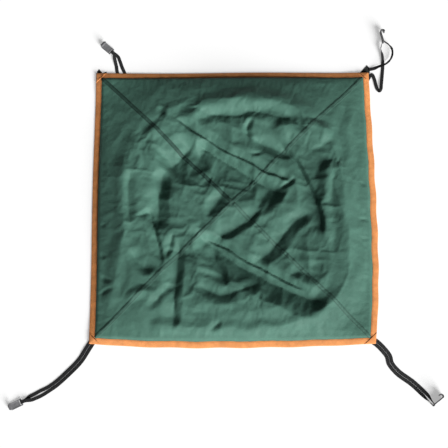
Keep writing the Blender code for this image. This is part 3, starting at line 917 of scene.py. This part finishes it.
def make_corner_folds(tape, thread):
    """The binding's end folded over each corner, and the bar tack across it."""
    leg, steps = 0.031, 12
    leaf = CLOTH / 2 + TAPE * 1.5 + 0.0003
    for corner, (east, north) in CORNERS.items():
        bm = bmesh.new()
        layer = bm.loops.layers.uv.new("UVMap")
        verts = {}
        for i in range(steps + 1):
            for j in range(steps + 1 - i):
                u = HALF + 0.0004 - leg * i / steps
                v = HALF + 0.0004 - leg * j / steps
                to_edge = min(i, j, steps - i - j) / steps
                puff = 0.0005 * min(1.0, to_edge * 6)
                point = on_cloth(east * min(u, HALF), north * min(v, HALF), leaf + puff)
                point.x += east * max(0.0, u - HALF)
                point.y += north * max(0.0, v - HALF)
                verts[i, j] = bm.verts.new(point)
        for i in range(steps):
            for j in range(steps - i):
                corners = [verts[i, j], verts[i + 1, j], verts[i, j + 1]]
                bm.faces.new(corners)
                if i + j < steps - 1:
                    bm.faces.new((verts[i + 1, j], verts[i + 1, j + 1], verts[i, j + 1]))
        turn = Matrix.Rotation(math.radians(45 * east * north), 3, "Z")
        for face in bm.faces:
            for loop in face.loops:
                p = turn @ loop.vert.co
                loop[layer].uv = (p.x, 0.5)
        bmesh.ops.recalc_face_normals(bm, faces=bm.faces)
        mesh = mesh_from("corner_tape", bm)
        fold = add_piece("corner_tape_" + corner, mesh, tape, "root")
        thicken(fold, TAPE * 0.8)
        fold.data.shade_smooth()
        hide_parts("corner_fold_" + corner)

        in_from_corner = leg / 2 - 0.0012
        centre = on_cloth(east * (HALF - in_from_corner), north * (HALF - in_from_corner),
                          leaf + 0.0009)
        across = Vector((1, -east * north, 0)).normalized()
        out = Vector((east, north, 0)).normalized()
        bm = bmesh.new()
        count = 30
        strands = []
        for k in range(count):
            at = centre + across * (0.021 * (k / (count - 1) - 0.5))
            slant = across * 0.00035 * (1 if k % 2 else -1)
            a, b = at - out * 0.0010 - slant, at + out * 0.0010 + slant
            strands.append((a, b, Vector((0, 0, 1))))
        stitch_row(bm, strands, THREAD * 1.5)
        tack = finish_thread("tack_" + corner, bm, thread)
        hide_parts("bar_tack_" + corner)


# Elastic loops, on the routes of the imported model

SPINES = {
    "sw": ((-0.383, -0.383), (-0.398, -0.408), (-0.420, -0.443), (-0.450, -0.475),
           (-0.490, -0.511), (-0.530, -0.535), (-0.560, -0.549), (-0.576, -0.556)),
    "nw": ((-0.383, 0.383), (-0.379, 0.352), (-0.362, 0.326), (-0.334, 0.314), (-0.309, 0.322),
           (-0.302, 0.346), (-0.312, 0.372), (-0.325, 0.400), (-0.333, 0.428),
           (-0.342, 0.453), (-0.352, 0.462)),
    "se": ((0.383, -0.383), (0.400, -0.395), (0.415, -0.410), (0.430, -0.430),
           (0.435, -0.450), (0.455, -0.475), (0.495, -0.505), (0.525, -0.535),
           (0.548, -0.564)),
}
SPREADS = {
    "sw": ((0.0, 0.0), (0.008, 0.0006), (0.030, 0.0060), (0.058, 0.0066), (0.085, 0.0052)),
    "nw": ((0.0, 0.0), (0.008, 0.0006), (0.026, 0.0062), (0.045, 0.0072), (0.072, 0.0098),
           (0.105, 0.0052)),
    "se": ((0.0, WRAP), (0.008, 0.0033), (0.030, 0.0052), (0.060, 0.0052)),
}
NE_BAR = (0.441, 0.488)
NE_OUT = (
    (0.379, 0.387, 0, 0), (0.364, 0.369, 0, 0), (0.356, 0.345, 0, 0), (0.368, 0.336, 0, 0),
    (0.383, 0.351, 0, 0), (0.396, 0.379, 0, 0), (0.406, 0.390, 0, 0), (0.413, 0.374, 0, 0),
    (0.417, 0.356, 0, 0), (0.421, 0.345, 0.0004, 0), (0.426, 0.340, 0.0022, 0),
    (0.430, 0.345, 0.0042, 0), (0.432, 0.360, 0.0030, 0), (0.435, 0.385, 0.0004, 0),
    (0.438, 0.415, 0, 0), (0.438, 0.445, 0.0020, 30), (0.433, 0.470, 0.0072, 75),
)
NE_BACK = (
    (0.456, 0.481, 0.0085, 90), (0.466, 0.465, 0.0082, 66), (0.464, 0.442, 0.0074, 56),
    (0.449, 0.423, 0.0066, 45), (0.427, 0.414, 0.0050, 25), (0.411, 0.408, 0.0018, 0),
    (0.397, 0.406, 0, 0),
)
HOOK_HEADINGS = {"ne": 104.0, "nw": 139.0, "sw": 206.0, "se": 38.0}
HOOK_ROLLS = {"ne": 90.0, "nw": 0.0, "sw": 0.0, "se": -90.0}
SPAN_STEPS = 8


def blend(table, at):
    """Smooth value from a table of (distance, value)."""
    if at >= table[-1][0]:
        return table[-1][1]
    for (near, low), (far, high) in zip(table, table[1:]):
        if at <= far:
            share = (at - near) / (far - near)
            return low + (high - low) * share * share * (3 - 2 * share)
    return table[-1][1]


def smooth(points, steps):
    """Read a smooth curve through the points: centripetal Catmull-Rom, evenly spaced in a span."""
    points = [Vector(p) for p in points]
    ends = [2 * points[0] - points[1]] + points + [2 * points[-1] - points[-2]]
    curve = []
    for p0, p1, p2, p3 in zip(ends, ends[1:], ends[2:], ends[3:]):
        t = [0.0]
        for a, b in ((p0, p1), (p1, p2), (p2, p3)):
            t.append(t[-1] + max((b - a).length, 1e-9) ** 0.5)
        for step in range(steps):
            now = t[1] + (t[2] - t[1]) * step / steps
            a1 = p0.lerp(p1, (now - t[0]) / (t[1] - t[0]))
            a2 = p1.lerp(p2, (now - t[1]) / (t[2] - t[1]))
            a3 = p2.lerp(p3, (now - t[2]) / (t[3] - t[2]))
            b1 = a1.lerp(a2, (now - t[0]) / (t[2] - t[0]))
            b2 = a2.lerp(a3, (now - t[1]) / (t[3] - t[1]))
            curve.append(b1.lerp(b2, (now - t[1]) / (t[2] - t[1])))
    return curve + [points[-1]]


def root_height(x, y, height):
    """Elastic climbs over the patch near its corner, and lies on the floor further out."""
    reach = math.hypot(abs(x) - ROOT, abs(y) - ROOT)
    climb = WEB_ROOT - WEB_LOW
    return height + blend(((0.044, climb), (0.060, 0.0)), max(reach, 0.044))


def leg_stations(corner, on_side):
    """Two legs beside a spine: stations of x, y, height and roll, from the corner to the bar."""
    spine = smooth([(x, y, 0) for x, y in SPINES[corner]], SPAN_STEPS)
    to_go = [0.0]
    for a, b in zip(reversed(spine), reversed(spine[:-1])):
        to_go.append(to_go[-1] + (a - b).length)
    to_go.reverse()
    legs = {}
    for hand in (1, -1):
        legs[hand] = []
        for i, point in enumerate(spine):
            ahead = spine[min(i + 1, len(spine) - 1)] - spine[max(i - 1, 0)]
            left = Vector((-ahead.y, ahead.x, 0)).normalized()
            away = blend(SPREADS[corner], to_go[i])
            x, y, _ = point + left * (hand * away)
            if on_side:
                lift = blend(((0.0, BAR_SIDE - WEB_LOW), (0.070, 0.0)), to_go[i])
                roll = blend(((0.004, 90.0), (0.048, 0.0)), max(to_go[i], 0.004))
            else:
                top = 2 * WRAP if hand == 1 else 0.0
                lift = blend(((0.004, top), (0.054, 0.0)), max(to_go[i], 0.004))
                roll = 0.0
            legs[hand].append((x, y, root_height(x, y, WEB_LOW + lift), roll))
    return legs[1], legs[-1]


def turn_stations(bar, heading, on_side):
    """Half a turn of elastic round a bar: on its side about Z, on its back over and under."""
    forward = Vector((math.cos(heading), math.sin(heading), 0))
    left = Vector((-forward.y, forward.x, 0))
    up = Vector((0, 0, 1))
    stations = []
    for step in range(1, 12):
        angle = math.pi * step / 12
        start = left if on_side else up
        point = bar + (start * math.cos(angle) + forward * math.sin(angle)) * WRAP
        stations.append((*point, 90.0 if on_side else 0.0))
    return stations


def ribbon_section():
    """Half of the elastic's section, from one edge to the other: cord edges and five ribs."""
    half = []
    points = 22
    for k in range(points + 1):
        share = 2 * k / points - 1
        edge = (1 - abs(share) ** 7) ** 0.5
        ribs = 0.00006 * math.cos(5 * math.pi * share)
        half.append((share * WEB_WIDTH / 2, WEB / 2 * edge * 0.93 + ribs * edge))
    return half


def make_ribbon(corner, stations, material):
    """Flat elastic through its stations. Its width keeps its side where the run turns over."""
    top = ribbon_section()
    section = top + [(w, -t) for w, t in reversed(top[1:-1])]
    centre = [Vector(s[:3]) for s in stations]
    rings = []
    side = None
    for i, point in enumerate(centre):
        run = (centre[min(i + 1, len(centre) - 1)] - centre[max(i - 1, 0)]).normalized()
        level = Vector((-run.y, run.x, 0))
        if side is None:
            side = level.normalized()
        elif level.length > 0.35:
            side = level.normalized() * (1 if level.dot(side) >= 0 else -1)
        side = (side - run * side.dot(run)).normalized()
        across = Matrix.Rotation(math.radians(stations[i][3]), 3, run) @ side
        normal = run.cross(across)
        rings.append([point + across * w + normal * t for w, t in section])
    mesh = strip_mesh("elastic_strap_" + corner, rings)
    strap = add_piece("elastic_strap_" + corner, mesh, material, "loop_" + corner)
    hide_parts("elastic_" + corner)
    return strap, centre


def roll_near(points, x, y):
    """Roll of a route at a place, by nearness to the route's own points."""
    weights = [(max(math.hypot(p[0] - x, p[1] - y), 1e-5) ** -3, p[3]) for p in points]
    return sum(w * r for w, r in weights) / sum(w for w, _ in weights)


def lone_leg(points):
    """One leg by itself: stations of x, y, height and roll."""
    return [(x, y, root_height(x, y, WEB_LOW + z), roll_near(points, x, y))
            for x, y, z in smooth([p[:3] for p in points], SPAN_STEPS)]


def bar_place(corner):
    if corner == "ne":
        return Vector((*NE_BAR, BAR_SIDE))
    on_side = HOOK_ROLLS[corner] != 0
    return Vector((*SPINES[corner][-1], BAR_SIDE if on_side else BAR_LOW))


def make_loops(material):
    for corner in CORNERS:
        on_side = HOOK_ROLLS[corner] != 0
        bar = bar_place(corner)
        if corner == "ne":
            turn = turn_stations(bar, math.radians(HOOK_HEADINGS["ne"]), True)
            stations = lone_leg(NE_OUT) + turn + lone_leg(NE_BACK)
        else:
            spine = SPINES[corner]
            out, back = leg_stations(corner, on_side)
            (x1, y1), (x0, y0) = spine[-1], smooth([(x, y, 0) for x, y in spine], 4)[-2][:2]
            turn = turn_stations(bar, math.atan2(y1 - y0, x1 - x0), on_side)
            stations = out + turn + back[::-1]
        strap, line = make_ribbon(corner, stations, material)


# Hooks

def hook_mesh():
    """The moulding: plate with raised edges, curl and round nose, two cheeks and the bar."""
    profile = [(SLOT_END + (SHANK_END - SLOT_END) * k / 16, 0.0, 0.0) for k in range(17)]
    steps = 22
    for step in range(1, steps + 1):
        angle = math.radians(CURL_TURN * step / steps)
        profile.append((SHANK_END + CURL * math.sin(angle), CURL * (1 - math.cos(angle)), angle))
    # Share of the half width, and the top and underside there in thicknesses of the plate
    right = [(1.0, 0.30, -0.30), (0.93, 0.50, -0.50), (0.80, 0.50, -0.5), (0.70, 0.34, -0.5),
             (0.30, 0.32, -0.5)]
    section = right + [(0.0, 0.34, -0.5)] + [(-w, i, o) for w, i, o in reversed(right)]
    nose = 0.0095       # length of the round end, seen from above
    tip = SHANK_END + CURL + HOOK / 2 + 0.0002
    half = HOOK_WIDTH / 2
    bm = bmesh.new()
    rings = []
    for x, z, angle in profile:
        past = max(0.0, x - (tip - nose)) / nose
        width = half * math.sqrt(max(0.0, 1 - past * past))
        up = Vector((-math.sin(angle), 0, math.cos(angle)))
        ring = [(share * width, inner, outer) for share, inner, outer in section]
        top = [Vector((x, w, z)) + up * (HOOK * i) for w, i, _ in ring]
        low = [Vector((x, w, z)) + up * (HOOK * o) for w, _, o in reversed(ring)]
        rings.append([bm.verts.new(p) for p in top + low])
    count = len(rings[0])
    for a, b in zip(rings, rings[1:]):
        for i in range(count):
            j = (i + 1) % count
            bm.faces.new((a[i], a[j], b[j], b[i]))
    bm.faces.new(rings[0])
    bm.faces.new(list(reversed(rings[-1])))
    bmesh.ops.recalc_face_normals(bm, faces=bm.faces)
    cheek = (HOOK_WIDTH - SLOT_WIDTH) / 2
    length = SLOT_END + 0.0012
    for hand in (-1, 1):
        cube = bmesh.ops.create_cube(bm, size=1.0)["verts"]
        bmesh.ops.scale(bm, vec=(length, cheek, HOOK), verts=cube)
        bmesh.ops.translate(bm, vec=(length / 2, hand * (SLOT_WIDTH + cheek) / 2, 0), verts=cube)
    turn = Matrix.Rotation(math.radians(90), 4, "X")
    bmesh.ops.create_cone(bm, cap_ends=True, segments=28, radius1=BAR / 2, radius2=BAR / 2,
                          depth=HOOK_WIDTH, matrix=turn)
    mesh = mesh_from("hook_moulding", bm)
    blank = bpy.data.objects.new("hook_blank", mesh)
    bpy.context.scene.collection.objects.link(blank)
    weld = blank.modifiers.new("one_body", "REMESH")
    weld.mode = "VOXEL"
    weld.voxel_size = 0.00042
    soften = blank.modifiers.new("soften", "SMOOTH")
    soften.factor = 0.5
    soften.iterations = 5
    apply_modifiers(blank)
    mesh = blank.data
    bpy.data.objects.remove(blank)
    mesh.shade_smooth()
    return mesh


def make_hooks(greys):
    mesh = hook_mesh()
    hooks = {}
    for corner in CORNERS:
        roll = HOOK_ROLLS[corner]
        turns = (roll, 0.0 if roll else HOOK_DIP, HOOK_HEADINGS[corner])
        hook = bpy.data.objects.new("snap_hook_" + corner, mesh.copy())
        bpy.context.scene.collection.objects.link(hook)
        hook.location = bar_place(corner)
        hook.rotation_euler = [math.radians(turn) for turn in turns]
        hook.data.materials.append(greys[corner])
        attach(hook, "hook_" + corner)
        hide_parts("hook_" + corner)
        hooks[corner] = hook
    return hooks


# Floor and light

def soft_sun(name, strength, spread, azimuth, elevation):
    """Even soft light from an azimuth (0 is east) and an elevation, in degrees."""
    data = bpy.data.lights.new(name, "SUN")
    data.energy = strength
    data.angle = math.radians(spread)
    lamp = bpy.data.objects.new(name, data)
    a, e = math.radians(azimuth), math.radians(elevation)
    back = Vector((math.cos(a) * math.cos(e), math.sin(a) * math.cos(e), math.sin(e)))
    lamp.location = back * 3
    lamp.rotation_euler = back.to_track_quat("Z", "Y").to_euler()
    bpy.context.scene.collection.objects.link(lamp)


def make_stage():
    mesh = bpy.data.meshes.new("floor")
    square = [(x * FLOOR_FAR, y * FLOOR_FAR, 0) for x, y in ((-1, -1), (1, -1), (1, 1), (-1, 1))]
    mesh.from_pydata(square, [], [(0, 1, 2, 3)])
    floor = bpy.data.objects.new("floor", mesh)
    bpy.context.scene.collection.objects.link(floor)
    white = Nodes("floor_white", (FLOOR_GREY,) * 3, 0.9, 0.1)
    white.shader.inputs["Emission Color"].default_value = (1, 1, 1, 1)
    white.shader.inputs["Emission Strength"].default_value = FLOOR_GLOW
    mesh.materials.append(white.finish())
    world = bpy.data.worlds.new("studio")
    world.use_nodes = True
    background = world.node_tree.nodes["Background"]
    background.inputs["Color"].default_value = (1, 1, 1, 1)
    background.inputs["Strength"].default_value = WORLD_LIGHT
    bpy.context.scene.world = world
    soft_sun("key", KEY_STRENGTH, KEY_SPREAD, KEY_AZIMUTH, KEY_ELEVATION)
    bpy.context.scene.view_settings.view_transform = "Standard"


def main():
    cloth_green = cloth_material("coated_cloth", (0.060, 0.142, 0.108), 0.10)
    # seam bands as lit and shaded copies of one cloth: painted shade on the northwest, painted light
    # on the southeast
    seam_greens = {name: cloth_material(name + "_cloth", tone, 0.10) for name, tone in SEAM_TONES_PAINTED_LIGHT_AND_SHADE}
    green_thread = thread_material("green_thread", (0.008, 0.018, 0.014))
    # the binding's edge colour is painted shade along its inner edges, where the tape meets the cloth
    orange = tape_material("binding_tape", (0.66, 0.255, 0.080), 240.0, (0.82, 0.74, 0.66))
    brown_thread = thread_material("tack_thread", (0.16, 0.045, 0.012))
    orange_thread = thread_material("orange_thread", (0.52, 0.17, 0.05))
    # the elastic's edge colour is painted shade on its rounded cord edges
    black = tape_material("elastic", (0.014, 0.014, 0.015), 420.0, (0.45, 0.45, 0.46))
    tab_black = tape_material("corner_webbing", (0.022, 0.025, 0.024), 300.0, (1, 1, 1))
    black_thread = thread_material("black_thread", (0.03, 0.03, 0.03))
    # lit and shaded copies of one plastic: painted shade on the hooks that stand on their side
    greys = {corner: plastic_material("moulded_plastic_" + corner, (tone, tone, tone * 1.04))
             for corner, tone in HOOK_PAINTED_SHADE_TONES}

    cloth = make_cloth()
    relax_cloth(cloth)
    refine_cloth(cloth)
    height_at = surface_of(cloth)
    split_cloth(cloth, cloth_green)
    bpy.data.objects.remove(cloth)
    make_bindings(orange)
    make_binding_stitches(orange_thread)
    make_seams(height_at, seam_greens, green_thread)
    make_patches(tab_black, black_thread)
    make_corner_folds(orange, brown_thread)
    hooks = make_hooks(greys)
    make_loops(black)
    make_stage()


main()
